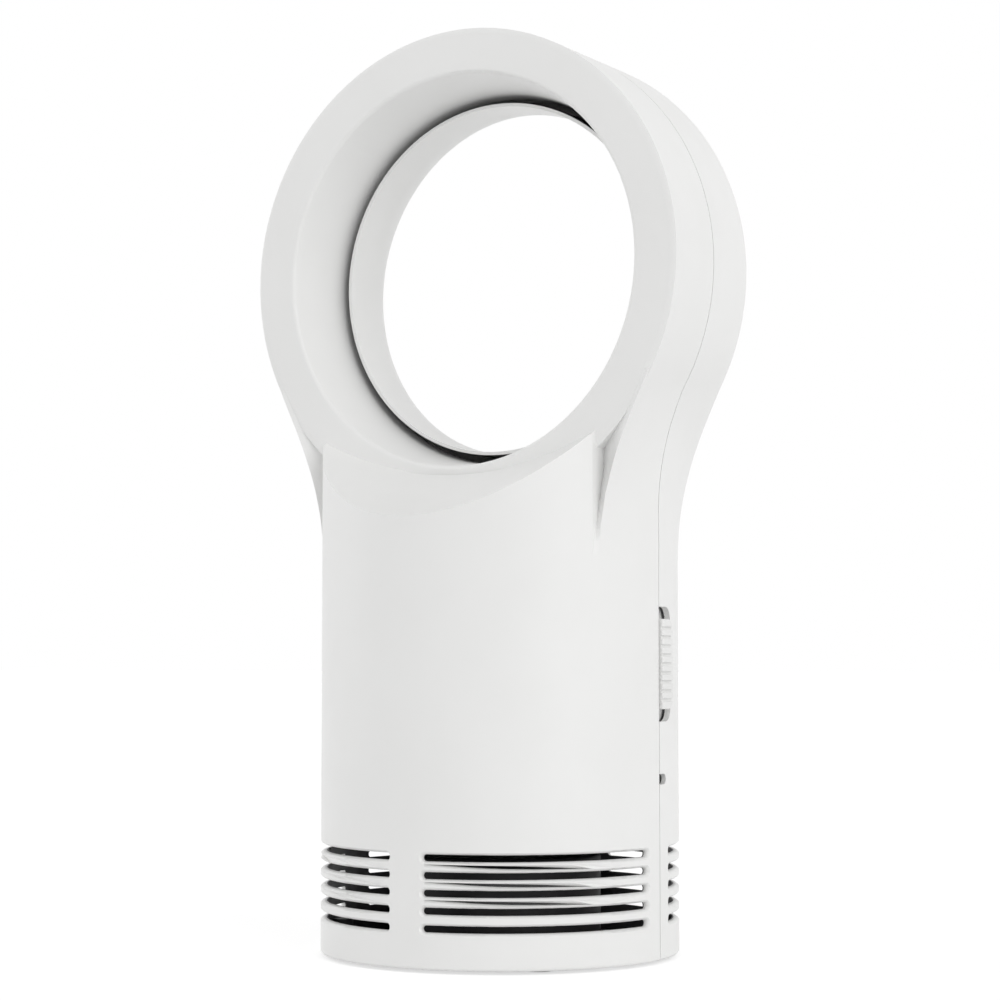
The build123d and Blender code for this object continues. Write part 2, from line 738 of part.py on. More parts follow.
def tip_plunger():
    """Plunger that the floor holds up while the heater stands."""
    head = tip_head_low()
    stem = rod(TIP_STEM_R, TIP_REST_Z, head, 0, TIP_Y)
    stem = fillet(stem.edges().sort_by(Axis.Z)[0:1], 1.0)
    return stem + rod(TIP_HEAD_R, head, head + TIP_HEAD, 0, TIP_Y)


def tip_spring():
    """Light spring between the plunger's head and the switch body."""
    low = tip_head_low() + TIP_HEAD
    high = PLATE_TOP + TIP_BODY[2] - 2.0
    radius = TIP_HEAD_R - 3 * SPRING_WIRE / 2
    rise = high - low - 2 * SPRING_WIRE
    coil = Helix(pitch=rise / SPRING_TURNS, height=rise, radius=radius)
    section = Plane(origin=coil @ 0, z_dir=coil % 0) * Circle(SPRING_WIRE)
    return Pos(0, TIP_Y, low + SPRING_WIRE) * sweep(section, path=coil)


def gland_boss():
    boss = rod_y(GLAND_R + 1.4, 0, GLAND_Z, INNER_R - 2.4, COLUMN_R - 1.0)
    return boss & rod(COLUMN_R - 0.5, 0, NECK_Z)


def cord_gland():
    """Bush for the supply cord, flush with the back of the rear shell."""
    outer = COLUMN_R - 0.3
    body = rod_y(GLAND_R, 0, GLAND_Z, outer - 1.1, outer)
    body += rod_y(GLAND_R - 1.2, 0, GLAND_Z, outer - GLAND_LENGTH, outer - 1.1)
    return body - rod_y(GLAND_BORE_R, 0, GLAND_Z, outer - GLAND_LENGTH - 1, outer + 1)


def inlet_duct():
    """Plate with a bell mouth that leads the air into the impeller's eye."""
    z = DUCT_Z
    top = z + DUCT_THICK
    rim = INNER_R - EASE
    lip = z + BELL_LIP
    root = EYE_R + 9.0
    edges = [
        Line((root, top), (rim, top)),
        Line((rim, top), (rim, z)),
        Line((rim, z), (root, z)),
        ThreePointArc((root, z), (EYE_R + 2.2, z + 1.5), (EYE_R, lip)),
        Line((EYE_R, lip), (EYE_R + 1.4, lip)),
        ThreePointArc((EYE_R + 1.4, lip), (EYE_R + 3.6, top + 0.9), (root, top)),
    ]
    return turned(make_face(Wire([edge.edge() for edge in edges])))


def blade():
    """One backward-curved blade of the impeller."""
    z0 = IMPELLER_Z
    z1 = IMPELLER_Z + IMPELLER_HIGH - IMPELLER_DISC + 0.4
    path = ThreePointArc((15.0, 0), (30.0, 5.0), (IMPELLER_R - 1.0, 17.0))
    other = ThreePointArc((15.0, BLADE_THICK), (29.6, 5.0 + BLADE_THICK), (IMPELLER_R - 1.8, 17.0 + BLADE_THICK))
    outline = make_face(Wire([path.edge(), Line(path @ 1, other @ 1).edge(), other.edge(),
                              Line(other @ 0, path @ 0).edge()]))
    body = Pos(0, 0, z0) * extrude(outline, z1 - z0, dir=(0, 0, 1))
    return body & rod(IMPELLER_R - 0.5, z0 - 1, z1 + 1)


def impeller():
    """Centrifugal wheel: backward-curved blades under a disc, with a coned hub."""
    z0 = IMPELLER_Z
    top = z0 + IMPELLER_HIGH
    disc = around_column((SHAFT_R, top - IMPELLER_DISC), (IMPELLER_R, top - IMPELLER_DISC), (IMPELLER_R, top),
                         (SHAFT_R, top))
    hub = around_column((SHAFT_R, z0), (HUB_R - 2, z0), (HUB_R, z0 + 2), (HUB_R + 11, top - IMPELLER_DISC),
                        (HUB_R + 11, top), (SHAFT_R, top))
    body = disc + hub
    body += [Rot(0, 0, 360 * i / BLADES) * blade() for i in range(BLADES)]
    return body - rod(SHAFT_R + 0.02, z0 - 1, top + 1)


def motor_low():
    """Bottom of the motor's can, on the floor of the mount's cup."""
    return MOUNT_Z + MOUNT_FLANGE + 0.4


def cup_inner():
    return MOTOR_R + ISOLATOR_THICK


def motor_mount():
    """Carrier with guide vanes: a flange on the casing's ledge, vanes, and the motor's cup."""
    z0 = MOUNT_Z
    z1 = z0 + MOUNT_FLANGE
    ring_low = z0 - LEDGE + 0.4
    body = around_column((MOUNT_RING_R - MOUNT_RING_WALL, z0), (INNER_R - EASE, z0), (INNER_R - EASE, z1),
                         (MOUNT_RING_R - MOUNT_RING_WALL, z1))
    body += around_column((MOUNT_RING_R - MOUNT_RING_WALL, ring_low), (MOUNT_RING_R, ring_low),
                          (MOUNT_RING_R, z1 + MOUNT_RING_UP), (MOUNT_RING_R - MOUNT_RING_WALL, z1 + MOUNT_RING_UP))
    cup_r = cup_inner() + CUP_WALL
    body += rod(cup_r, z0, motor_low() + CUP_HIGH)
    for i in range(VANES):
        vane = block(cup_r - 1.0, MOUNT_RING_R - MOUNT_RING_WALL + 1.0, -VANE_THICK / 2, VANE_THICK / 2,
                     ring_low, z1 + MOUNT_RING_UP)
        body += Rot(0, 0, 360 * (i + 0.5) / VANES) * vane
    body -= rod(cup_inner(), motor_low(), motor_low() + CUP_HIGH)
    body -= rod(SHAFT_R + 1.4, z0 - 1, motor_low())
    return body - [rod(SMALL_SCREW_R + FIT, z0 - 1, motor_low(), x, y) for x, y in motor_screw_places()]


def motor_screw_places():
    return [at_angle(9.0, angle) for angle in (30, 150, 270)]


def motor_screws():
    one = screw(MOUNT_FLANGE + 0.4 + CAN_WALL - 0.1, SMALL_SCREW_R, SMALL_HEAD_R, SMALL_HEAD)
    return [Pos(x, y, MOUNT_Z) * Rot(180, 0, 0) * one for x, y in motor_screw_places()]


def motor_can():
    z0 = motor_low()
    z1 = z0 + MOTOR_LONG
    body = rod(MOTOR_R, z0, z1) - rod(MOTOR_R - CAN_WALL, z0 + CAN_WALL, z1)
    body -= rod(bearing_r() + FIT, z0 - 1, z0 + 2)
    return body - [rod(SMALL_SCREW_R + FIT, z0 - 1, z0 + 2, x, y) for x, y in motor_screw_places()]


def bearing_r():
    return SHAFT_R + 2.6


def motor_bearings():
    """Plain bushes in the can's floor and in its end cap."""
    z0 = motor_low()
    z1 = z0 + MOTOR_LONG
    places = ((z0, z0 + 4.0), (z1 - 4.0, z1 + CAN_WALL))
    return [rod(bearing_r(), a, b) - rod(SHAFT_R + FIT, a - 1, b + 1) for a, b in places]


def motor_end_cap():
    z = motor_low() + MOTOR_LONG
    body = rod(MOTOR_R, z, z + CAN_WALL) + rod(MOTOR_R - CAN_WALL - EASE, z - 2.0, z)
    body -= rod(bearing_r() + FIT, z - 3, z + 3)
    for angle in (0, 180):
        x, y = at_angle(11.0, angle)
        body += block(x - 0.4, x + 0.4, y - 2.4, y + 2.4, z + CAN_WALL, z + CAN_WALL + 6.0)
    return body


def motor_magnets():
    """Two arc magnets against the can's wall."""
    outer = MOTOR_R - CAN_WALL - FIT
    z0 = motor_low() + CAN_WALL + 4.0
    ring = rod(outer, z0, z0 + 18.0) - rod(outer - MAGNET_THICK, z0 - 1, z0 + 19.0)
    halves = []
    for side in (-1, 1):
        near, far = sorted((side * 2.5, side * WIDE))
        halves.append(ring & block(-WIDE, WIDE, near, far, 0, WIDE))
    return halves


def motor_rotor():
    """Slotted armature and commutator, pressed on the shaft."""
    outer = MOTOR_R - CAN_WALL - FIT - MAGNET_THICK - ROTOR_GAP
    z0 = motor_low() + CAN_WALL + 4.0
    body = rod(outer, z0, z0 + 18.0)
    slots = []
    for i in range(7):
        slots.append(Rot(0, 0, 360 * i / 7) * block(outer - 4.5, outer + 1, -1.0, 1.0, z0 - 1, z0 + 19.0))
    body -= slots
    body += rod(3.6, z0 + 18.0, z0 + 20.2)
    return body - rod(SHAFT_R + 0.02, z0 - 1, z0 + 24.0)


def motor_shaft():
    top = motor_low() + MOTOR_LONG + CAN_WALL - 0.2
    body = rod(SHAFT_R, IMPELLER_Z - 0.6, top)
    return chamfer(body.edges().filter_by(GeomType.CIRCLE), 0.3)


def motor_isolators():
    """Soft rings between the motor and its cup."""
    rings = []
    for up in (3.0, CUP_HIGH - 8.0):
        z = motor_low() + up
        rings.append(rod(cup_inner() - FIT, z, z + 5.0) - rod(MOTOR_R + FIT, z - 1, z + 6.0))
    return rings


def knob_body():
    """Outline of the knob in its slot, curved like the column and a little proud."""
    low = SLOT_MID - KNOB_TALL / 2
    raw = block(knob_plate_face() - 0.5, COLUMN_R + 5, KNOB_GAP, SLOT_WIDE - KNOB_GAP, low, low + KNOB_TALL)
    corners = raw.edges().filter_by(Axis.X).sort_by(Axis.Y)[2:4]
    body = fillet(corners, SLOT_ROUND - KNOB_GAP)
    body &= rod(COLUMN_R + KNOB_PROUD, 0, HEIGHT)
    outer = [edge for edge in body.edges() if edge.center().X > COLUMN_R - 2.0]
    return fillet(outer, 0.5)


def selector_knob():
    """Ribbed sliding knob with the plate that holds it inside the casing."""
    body = knob_body()
    for i in range(RIB_COUNT):
        z = SLOT_MID + (i - (RIB_COUNT - 1) / 2) * RIB_PITCH
        tool = rod(COLUMN_R + 4, z - 0.55, z + 0.55) - rod(COLUMN_R + KNOB_PROUD - RIB_DEPTH, z - 1, z + 1)
        body -= tool
    face = knob_plate_face()
    half = KNOB_TALL / 2 + PLATE_OVER
    body += block(face - KNOB_PLATE, face, -2.5, SLOT_WIDE + 2.0, SLOT_MID - half, SLOT_MID + half)
    pocket = LEVER / 2 + 0.02
    lever_y = SLOT_WIDE / 2
    return body - block(0, face + 1.6, lever_y - pocket, lever_y + pocket, SLOT_MID - pocket, SLOT_MID + pocket)


def switch_lever():
    """Lever of the slide switch, held in the knob's pocket."""
    y = SLOT_WIDE / 2
    half = LEVER / 2
    inner = guide_face() - GUIDE_THICK - 2.0
    return block(inner, knob_plate_face() + 1.4, y - half, y + half, SLOT_MID - half, SLOT_MID + half)


def selector_switch():
    """Slide switch on the control board."""
    thick, wide, tall = SWITCH_BODY
    y = SLOT_WIDE / 2
    outer = guide_face() - GUIDE_THICK - SEAT
    body = block(outer - thick, outer, y - wide / 2, y + wide / 2, SLOT_MID - tall / 2, SLOT_MID + tall / 2)
    body = fillet(body.edges().filter_by(Axis.X), 0.5)
    run = LEVER / 2 + KNOB_TRAVEL + 0.4
    return body - block(outer - 2.2, outer + 1, y - LEVER / 2 - 0.3, y + LEVER / 2 + 0.3, SLOT_MID - run,
                        SLOT_MID + run)


def selector_guide():
    """Frame behind the sliding plate, with sleeves that space the control board."""
    face = guide_face()
    back = face - GUIDE_THICK
    half = KNOB_TALL / 2 + PLATE_OVER - 1.0
    body = block(back, face, -3.5, CONTROL_POST_Y + 3.4, SLOT_MID - half, SLOT_MID + half)
    window = SWITCH_BODY[2] / 2 - 1.0
    y = SLOT_WIDE / 2
    body -= block(back - 1, face + 1, y - LEVER / 2 - 0.6, y + LEVER / 2 + 0.6, SLOT_MID - window, SLOT_MID + window)
    for step in (-1, 1):
        z = SLOT_MID + step * CONTROL_POST_APART / 2
        body += rod_x(3.4, CONTROL_POST_Y, z, back, face)
        body += rod_x(POST_R, CONTROL_POST_Y, z, board_face(), back)
        body -= rod_x(SMALL_SCREW_R + FIT, CONTROL_POST_Y, z, board_face() - 1, face + 1)
    return body & rod(INNER_R - SEAT, 0, HEIGHT)


def control_board():
    thick, wide, tall = CONTROL_BOARD
    face = board_face()
    y1 = CONTROL_POST_Y + 3.4
    body = block(face - thick, face, y1 - wide, y1, SLOT_MID - tall / 2, SLOT_MID + tall / 2)
    body = fillet(body.edges().filter_by(Axis.X), 1.0)
    for step in (-1, 1):
        z = SLOT_MID + step * CONTROL_POST_APART / 2
        body -= rod_x(SMALL_SCREW_R + FIT, CONTROL_POST_Y, z, face - thick - 1, face + 1)
    return body


def control_screws():
    """Two screws through the board and the guide into the rear shell."""
    seat = board_face() - CONTROL_BOARD[0]
    long = guide_face() + 2.6 - seat
    one = screw(long, SMALL_SCREW_R, SMALL_HEAD_R, SMALL_HEAD)
    placed = []
    for step in (-1, 1):
        z = SLOT_MID + step * CONTROL_POST_APART / 2
        placed.append(Pos(seat, CONTROL_POST_Y, z) * Rot(0, -90, 0) * one)
    return placed


def window_face():
    return COLUMN_R - WINDOW_SUNK


def window_back():
    """Inner end of the light window, behind its flange."""
    return sqrt(INNER_R**2 - (LED_HOLE_WIDE + 1.6) ** 2) - SEAT - 1.3


def indicator_face():
    """Outer face of the indicator's board."""
    return window_back() - 4.6


def indicator_post():
    wall_x = sqrt(INNER_R**2 - (INDICATOR_POST_Y + POST_R) ** 2) + 1.5
    return rod_x(POST_R, INDICATOR_POST_Y, LED_Z - 2.0, indicator_face(), wall_x)


def led_window():
    """Smoked window in the indicator opening, with a flange inside the wall."""
    body = led_hole(-EASE) & block(window_back(), window_face(), 0.1, WIDE, 0, WIDE)
    flange = window_back()
    return body + block(flange, flange + 1.3, -1.5, LED_HOLE_WIDE + 1.4, LED_Z - 2.6, LED_Z + 1.9)


def indicator_led():
    face = indicator_face()
    y = LED_HOLE_WIDE / 2
    body = rod_x(LED_R, y, LED_Z, face, face + 2.8) + Pos(face + 2.8, y, LED_Z) * Sphere(LED_R)
    return body + rod_x(LED_R + 0.3, y, LED_Z, face, face + 0.8)


def indicator_board():
    face = indicator_face()
    y1 = INDICATOR_POST_Y + 3.0
    body = block(face - 1.4, face, -2.5, y1, LED_Z - 6.0, LED_Z + 2.0)
    return body - rod_x(SMALL_SCREW_R + FIT, INDICATOR_POST_Y, LED_Z - 2.0, face - 3, face + 1)


def indicator_screw():
    seat = indicator_face() - 1.4
    one = screw(4.4, SMALL_SCREW_R, SMALL_HEAD_R, SMALL_HEAD)
    return Pos(seat, INDICATOR_POST_Y, LED_Z - 2.0) * Rot(0, -90, 0) * one


def heater_plate():
    """Mica plate on the upper ledge, open under the heater."""
    long, deep, _ = HEATER_BOX
    z = HEATER_Z
    body = rod(INNER_R - EASE, z, z + HEATER_PLATE)
    x = long / 2 - HEATER_RIM
    y = deep / 2 - HEATER_RIM
    return body - block(-x, x, -y, y, z - 1, z + HEATER_PLATE + 1)


def heater_low():
    return HEATER_Z + HEATER_PLATE


def heater_frame():
    """Frame around the elements and fins, with an end rail at each side."""
    long, deep, high = HEATER_BOX
    z = heater_low()
    x = long / 2 - HEATER_RIM
    y = deep / 2 - HEATER_RIM
    body = block(-long / 2, long / 2, -deep / 2, deep / 2, z, z + high)
    body -= block(-x, x, -y, y, z - 1, z + high + 1)
    body = fillet(body.edges().filter_by(Axis.Z).filter_by_position(Axis.X, -long, -x - 0.1), 1.5)
    lip = 1.2
    body += block(-x - 0.1, -x + lip, -y - 0.1, y + 0.1, z, z + 1.6)
    return body + block(x - lip, x + 0.1, -y - 0.1, y + 0.1, z, z + 1.6)


def bank_depth():
    """Depth of one bank of fins between two elements."""
    room = HEATER_BOX[1] - 2 * HEATER_RIM
    return (room - PTC_BARS * PTC_THICK) / (PTC_BARS + 1)


def ptc_elements():
    """Flat bars of heating ceramic in their sleeves."""
    x = HEATER_BOX[0] / 2 - HEATER_RIM - EASE
    z = heater_low() + 1.6
    y0 = -HEATER_BOX[1] / 2 + HEATER_RIM
    bars = []
    for i in range(PTC_BARS):
        y = y0 + bank_depth() * (i + 1) + PTC_THICK * i
        bars.append(block(-x, x, y, y + PTC_THICK, z, z + FIN_HIGH))
    return bars


def fin_bank(y0, y1):
    """One folded strip of fin, from wall to wall."""
    half = HEATER_BOX[0] / 2 - HEATER_RIM - 2.0
    folds = int(2 * half / FIN_PITCH)
    slant = FIN_SHEET * sqrt(1 + (bank_depth() / FIN_PITCH) ** 2)
    low = y0 + EASE / 2
    high = y1 - EASE / 2 - slant
    lower = []
    for i in range(folds + 1):
        x = -folds * FIN_PITCH / 2 + i * FIN_PITCH
        lower.append((x, low if i % 2 else high))
    upper = [(x, y + slant) for x, y in lower]
    outline = make_face(Polyline(*(lower + upper[::-1]), close=True))
    return Pos(0, 0, heater_low() + 1.6) * extrude(outline, FIN_HIGH, dir=(0, 0, 1))


def heater_fins():
    y0 = -HEATER_BOX[1] / 2 + HEATER_RIM
    banks = []
    for i in range(PTC_BARS + 1):
        y = y0 + (bank_depth() + PTC_THICK) * i
        banks.append(fin_bank(y, y + bank_depth()))
    return banks


def heater_terminals():
    """Tabs that stand up from the ends of the elements."""
    z = heater_low() + 1.6 + FIN_HIGH
    y0 = -HEATER_BOX[1] / 2 + HEATER_RIM
    x = HEATER_BOX[0] / 2 - HEATER_RIM - 6.0
    tabs = []
    for i in range(PTC_BARS):
        y = y0 + bank_depth() * (i + 1) + PTC_THICK * (i + 0.5)
        side = -1 if i % 2 else 1
        tabs.append(block(side * x - 3.0, side * x + 3.0, y - 0.4, y + 0.4, z, z + 7.0))
    return tabs


def thermostat():
    """Disc thermostat on the rear rail of the heater frame."""
    z = heater_low() + HEATER_BOX[2]
    y = HEATER_BOX[1] / 2 - HEATER_RIM / 2
    x = -12.0
    body = rod(THERMOSTAT_R, z + 1.0, z + 5.0, x, y) + block(x - 11.5, x + 11.5, y - 1.5, y + 1.5, z, z + 1.0)
    for step in (-1, 1):
        body += block(x + step * 4 - 1.6, x + step * 4 + 1.6, y - 0.4, y + 0.4, z + 5.0, z + 7.2)
    return body


def thermal_fuse():
    """One-shot fuse on the same rail."""
    z = heater_low() + HEATER_BOX[2]
    y = HEATER_BOX[1] / 2 - HEATER_RIM / 2
    body = rod_x(1.8, y, z + 1.8, 10.0, 22.0) + block(12.0, 20.0, y - 1.5, y + 1.5, z, z + 1.2)
    return body + rod_x(0.6, y, z + 1.8, 6.0, 26.0)


def save(name, shape):
    """Write one named sub-part; a list of shapes becomes a group of separate solids."""
    if isinstance(shape, (list, tuple)):
        shape = Compound(children=list(shape))
    shape.label = name
    export_step(shape, f"parts/{name}.step")


def main():
    save("front_shell", front_shell())
    save("rear_shell", rear_shell())
    save("nozzle_ring", nozzle_ring())
    save("base_plate", base_plate())
    save("rubber_feet", rubber_feet())
    save("base_screws", base_screws())
    save("case_screws", case_screws())
    save("electronics_cover", electronics_cover())
    save("power_board", power_board())
    save("power_screws", power_screws())
    save("relays", relays())
    save("terminal_block", terminal_block())
    save("tip_switch_body", tip_switch_body())
    save("tip_plunger", tip_plunger())
    save("tip_spring", tip_spring())
    save("cord_gland", cord_gland())
    save("inlet_duct", inlet_duct())
    save("impeller", impeller())
    save("motor_mount", motor_mount())
    save("motor_screws", motor_screws())
    save("motor_can", motor_can())
    save("motor_bearings", motor_bearings())
    save("motor_end_cap", motor_end_cap())
    save("motor_magnets", motor_magnets())
    save("motor_rotor", motor_rotor())
    save("motor_shaft", motor_shaft())
    save("motor_isolators", motor_isolators())
    save("selector_knob", selector_knob())
    save("switch_lever", switch_lever())
    save("selector_switch", selector_switch())
    save("selector_guide", selector_guide())
    save("control_board", control_board())
    save("control_screws", control_screws())
    save("led_window", led_window())
    save("indicator_led", indicator_led())
    save("indicator_board", indicator_board())
    save("indicator_screw", indicator_screw())
    save("heater_plate", heater_plate())
    save("heater_frame", heater_frame())
    save("ptc_elements", ptc_elements())
    save("heater_fins", heater_fins())
    save("heater_terminals", heater_terminals())
    save("thermostat", thermostat())
    save("thermal_fuse", thermal_fuse())


main()
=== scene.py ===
"""Looks of the bladeless fan heater: camera, soft light, floor and moulded materials."""
import json
from math import pi, radians

import bpy
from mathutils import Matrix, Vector

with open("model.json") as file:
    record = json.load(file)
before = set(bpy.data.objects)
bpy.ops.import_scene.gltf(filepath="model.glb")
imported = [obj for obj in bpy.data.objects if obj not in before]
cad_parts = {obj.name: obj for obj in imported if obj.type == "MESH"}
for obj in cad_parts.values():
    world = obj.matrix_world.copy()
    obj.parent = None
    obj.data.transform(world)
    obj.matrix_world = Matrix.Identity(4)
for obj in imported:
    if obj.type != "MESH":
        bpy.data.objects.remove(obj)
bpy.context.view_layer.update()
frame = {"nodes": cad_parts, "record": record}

# Camera fitted to the photograph, in metres, degrees and millimetres
CAMERA_AT = (0.43282, -0.74095, 0.09843)
CAMERA_TILT = 93.657
CAMERA_TURN = 30.291
CAMERA_LENS = 90.717
CAMERA_SENSOR = 36.0
CAMERA_NEAR = 0.01

# Light: the surroundings' level at the horizon and overhead, and two lamps with the share of a facing
# surface's colour that each gives and the direction that it comes from
LEVEL_AROUND = 0.93
LEVEL_ABOVE = 0.50
LAMPS = {"key": (0.26, (0.85, -0.31, 0.42)), "fill": (0.15, (-0.89, -0.15, 0.42))}
LAMP_ANGLE = 50.0

# Floor, in metres, and its colour for light that bounces and for the camera
FLOOR_HALF = 20.0
FLOOR_BOUNCE = 0.92
FLOOR_GLOW = 0.64
FLOOR_SEEN = 0.50

# Painted shade, a near-black colour on the hidden inner faces of the air ways where shade falls, in metres:
# inside the column, inside the ring, and behind the nozzle's lip
RING_Z = 0.229
PAINTED_SHADE = (0.045, 0.045, 0.047)
COLUMN_SHADE = dict(radius=(0.0, 0.0584), depth=(-0.07, 0.07), height=(-0.01, 0.132), ring=False)
RING_SHADE = dict(radius=(0.0667, 0.0787), depth=(-0.0272, 0.0286), height=(0.10, 0.32), ring=True)
LIP_SHADE = dict(radius=(0.0603, 0.0760), depth=(-0.0020, 0.0120), height=(0.10, 0.32), ring=True)
# Materials that get the painted shade, and the zones where it is painted
PAINTED_SHADE_ZONES = {"white_shell": (COLUMN_SHADE, RING_SHADE), "white_ring": (LIP_SHADE,)}

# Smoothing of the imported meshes, in metres and radians
MERGE = 2e-6
SHARP = radians(28)

# Settings that all the materials share
PLASTIC_IOR = 1.46
COLOUR_BAND = (0.35, 0.65)
GLOSS_BAND = (0.3, 0.7)
GLOSS_FINER = 4
BUMP_DEPTH = 0.0001
BUMP_DETAIL = 2.0


def finish(colour, second, rough, grain, height, **more):
    """Options of moulded() for one material slot."""
    return dict(colour=colour, second=second, rough=rough, grain=grain, height=height, **more)


WHITE = (0.86, 0.86, 0.852)
WHITE_DRIFT = (0.845, 0.845, 0.836)
FINISHES = {
    "white_shell": finish(WHITE, WHITE_DRIFT, (0.36, 0.44), 1500, 0.05),
    "white_ring": finish(WHITE, WHITE_DRIFT, (0.34, 0.42), 1500, 0.05),
    "white_base": finish((0.80, 0.80, 0.79), (0.76, 0.76, 0.75), (0.50, 0.60), 900, 0.15),
    "white_knob": finish((0.84, 0.84, 0.832), (0.81, 0.81, 0.80), (0.42, 0.52), 1200, 0.08),
    "foot_rubber": finish((0.020, 0.020, 0.021), (0.035, 0.035, 0.035), (0.75, 0.90), 700, 0.3),
    "dark_plastic": finish((0.022, 0.022, 0.024), (0.034, 0.034, 0.036), (0.45, 0.60), 1000, 0.2),
    "grey_plastic": finish((0.16, 0.16, 0.165), (0.20, 0.20, 0.205), (0.48, 0.60), 900, 0.15),
    "heater_plastic": finish((0.03, 0.03, 0.03), (0.05, 0.05, 0.048), (0.55, 0.70), 800, 0.25),
    "relay_plastic": finish((0.03, 0.09, 0.32), (0.04, 0.11, 0.36), (0.30, 0.40), 1200, 0.05),
    "terminal_plastic": finish((0.08, 0.26, 0.10), (0.10, 0.30, 0.12), (0.45, 0.55), 900, 0.1),
    "circuit_board": finish((0.030, 0.15, 0.055), (0.060, 0.24, 0.085), (0.25, 0.50), 420, 0.2, blotch=260),
    "magnet": finish((0.07, 0.07, 0.072), (0.12, 0.12, 0.12), (0.60, 0.80), 1600, 0.3),
    "mica": finish((0.46, 0.42, 0.32), (0.60, 0.56, 0.44), (0.35, 0.55), 300, 0.2, stretch=(1, 1, 6)),
    "screw_steel": finish((0.58, 0.58, 0.58), (0.48, 0.48, 0.49), (0.28, 0.42), 900, 0.1, metal=1.0),
    "spring_steel": finish((0.62, 0.62, 0.63), (0.54, 0.54, 0.55), (0.16, 0.28), 900, 0.05, metal=1.0,
                           stretch=(1, 1, 8)),
    "motor_steel": finish((0.52, 0.52, 0.54), (0.44, 0.44, 0.46), (0.30, 0.45), 700, 0.08, metal=1.0,
                          stretch=(1, 1, 10)),
    "bronze": finish((0.66, 0.47, 0.24), (0.52, 0.36, 0.19), (0.30, 0.45), 900, 0.1, metal=1.0),
    "fin_aluminium": finish((0.72, 0.72, 0.73), (0.62, 0.62, 0.63), (0.28, 0.42), 500, 0.08, metal=1.0,
                            stretch=(1, 1, 12)),
    "smoked_window": finish((0.030, 0.030, 0.032), (0.045, 0.045, 0.047), (0.12, 0.20), 600, 0.03, clear=0.55),
    "led_resin": finish((0.75, 0.16, 0.08), (0.80, 0.20, 0.10), (0.10, 0.18), 600, 0.02, clear=0.7),
}


def noise(tree, source, scale, detail=3.0):
    """Noise texture on the given coordinates."""
    node = tree.nodes.new("ShaderNodeTexNoise")
    node.inputs["Scale"].default_value = scale
    node.inputs["Detail"].default_value = detail
    tree.links.new(source, node.inputs["Vector"])
    return node.outputs["Fac"]


def combine(tree, operation, first, second):
    """Result of one Math node on two links."""
    node = tree.nodes.new("ShaderNodeMath")
    node.operation = operation
    tree.links.new(first, node.inputs[0])
    tree.links.new(second, node.inputs[1])
    return node.outputs[0]


def within(tree, value, limits):
    """1 where a value lies between two limits."""
    inside = None
    for operation, limit in (("GREATER_THAN", limits[0]), ("LESS_THAN", limits[1])):
        node = tree.nodes.new("ShaderNodeMath")
        node.operation = operation
        node.inputs[1].default_value = limit
        tree.links.new(value, node.inputs[0])
        inside = node.outputs[0] if inside is None else combine(tree, "MULTIPLY", inside, node.outputs[0])
    return inside


def painted_shade_mask(tree, place, zones):
    """1 on the hidden inner faces of the air ways, where dark shade is painted."""
    whole = None
    for zone in zones:
        shift = tree.nodes.new("ShaderNodeMapping")
        shift.inputs["Location"].default_value = (0, 0, -RING_Z if zone["ring"] else 0)
        flat = tree.nodes.new("ShaderNodeVectorMath")
        flat.operation = "MULTIPLY"
        flat.inputs[1].default_value = (1, 0, 1) if zone["ring"] else (1, 1, 0)
        length = tree.nodes.new("ShaderNodeVectorMath")
        length.operation = "LENGTH"
        split = tree.nodes.new("ShaderNodeSeparateXYZ")
        tree.links.new(place, shift.inputs["Vector"])
        tree.links.new(shift.outputs["Vector"], flat.inputs[0])
        tree.links.new(flat.outputs["Vector"], length.inputs[0])
        tree.links.new(place, split.inputs["Vector"])
        inside = within(tree, length.outputs["Value"], zone["radius"])
        inside = combine(tree, "MULTIPLY", inside, within(tree, split.outputs["Y"], zone["depth"]))
        inside = combine(tree, "MULTIPLY", inside, within(tree, split.outputs["Z"], zone["height"]))
        whole = inside if whole is None else combine(tree, "MAXIMUM", whole, inside)
    return whole


def colour_drift(tree, at, blotch, colour, second):
    """Colour that drifts softly between two near ones."""
    ramp = tree.nodes.new("ShaderNodeValToRGB")
    for stop, position, shade in zip(ramp.color_ramp.elements, COLOUR_BAND, (colour, second)):
        stop.position = position
        stop.color = (*shade, 1)
    tree.links.new(noise(tree, at, blotch), ramp.inputs["Fac"])
    return ramp.outputs["Color"]


def with_painted_shade(tree, place, zones, colour):
    """The same colour, with painted shade (near black) on the inner faces of the air ways."""
    mix = tree.nodes.new("ShaderNodeMix")
    mix.data_type = "RGBA"
    sockets = {socket.identifier: socket for socket in mix.inputs}
    sockets["B_Color"].default_value = (*PAINTED_SHADE, 1)
    tree.links.new(painted_shade_mask(tree, place, zones), sockets["Factor_Float"])
    tree.links.new(colour, sockets["A_Color"])
    return {socket.identifier: socket for socket in mix.outputs}["Result_Color"]


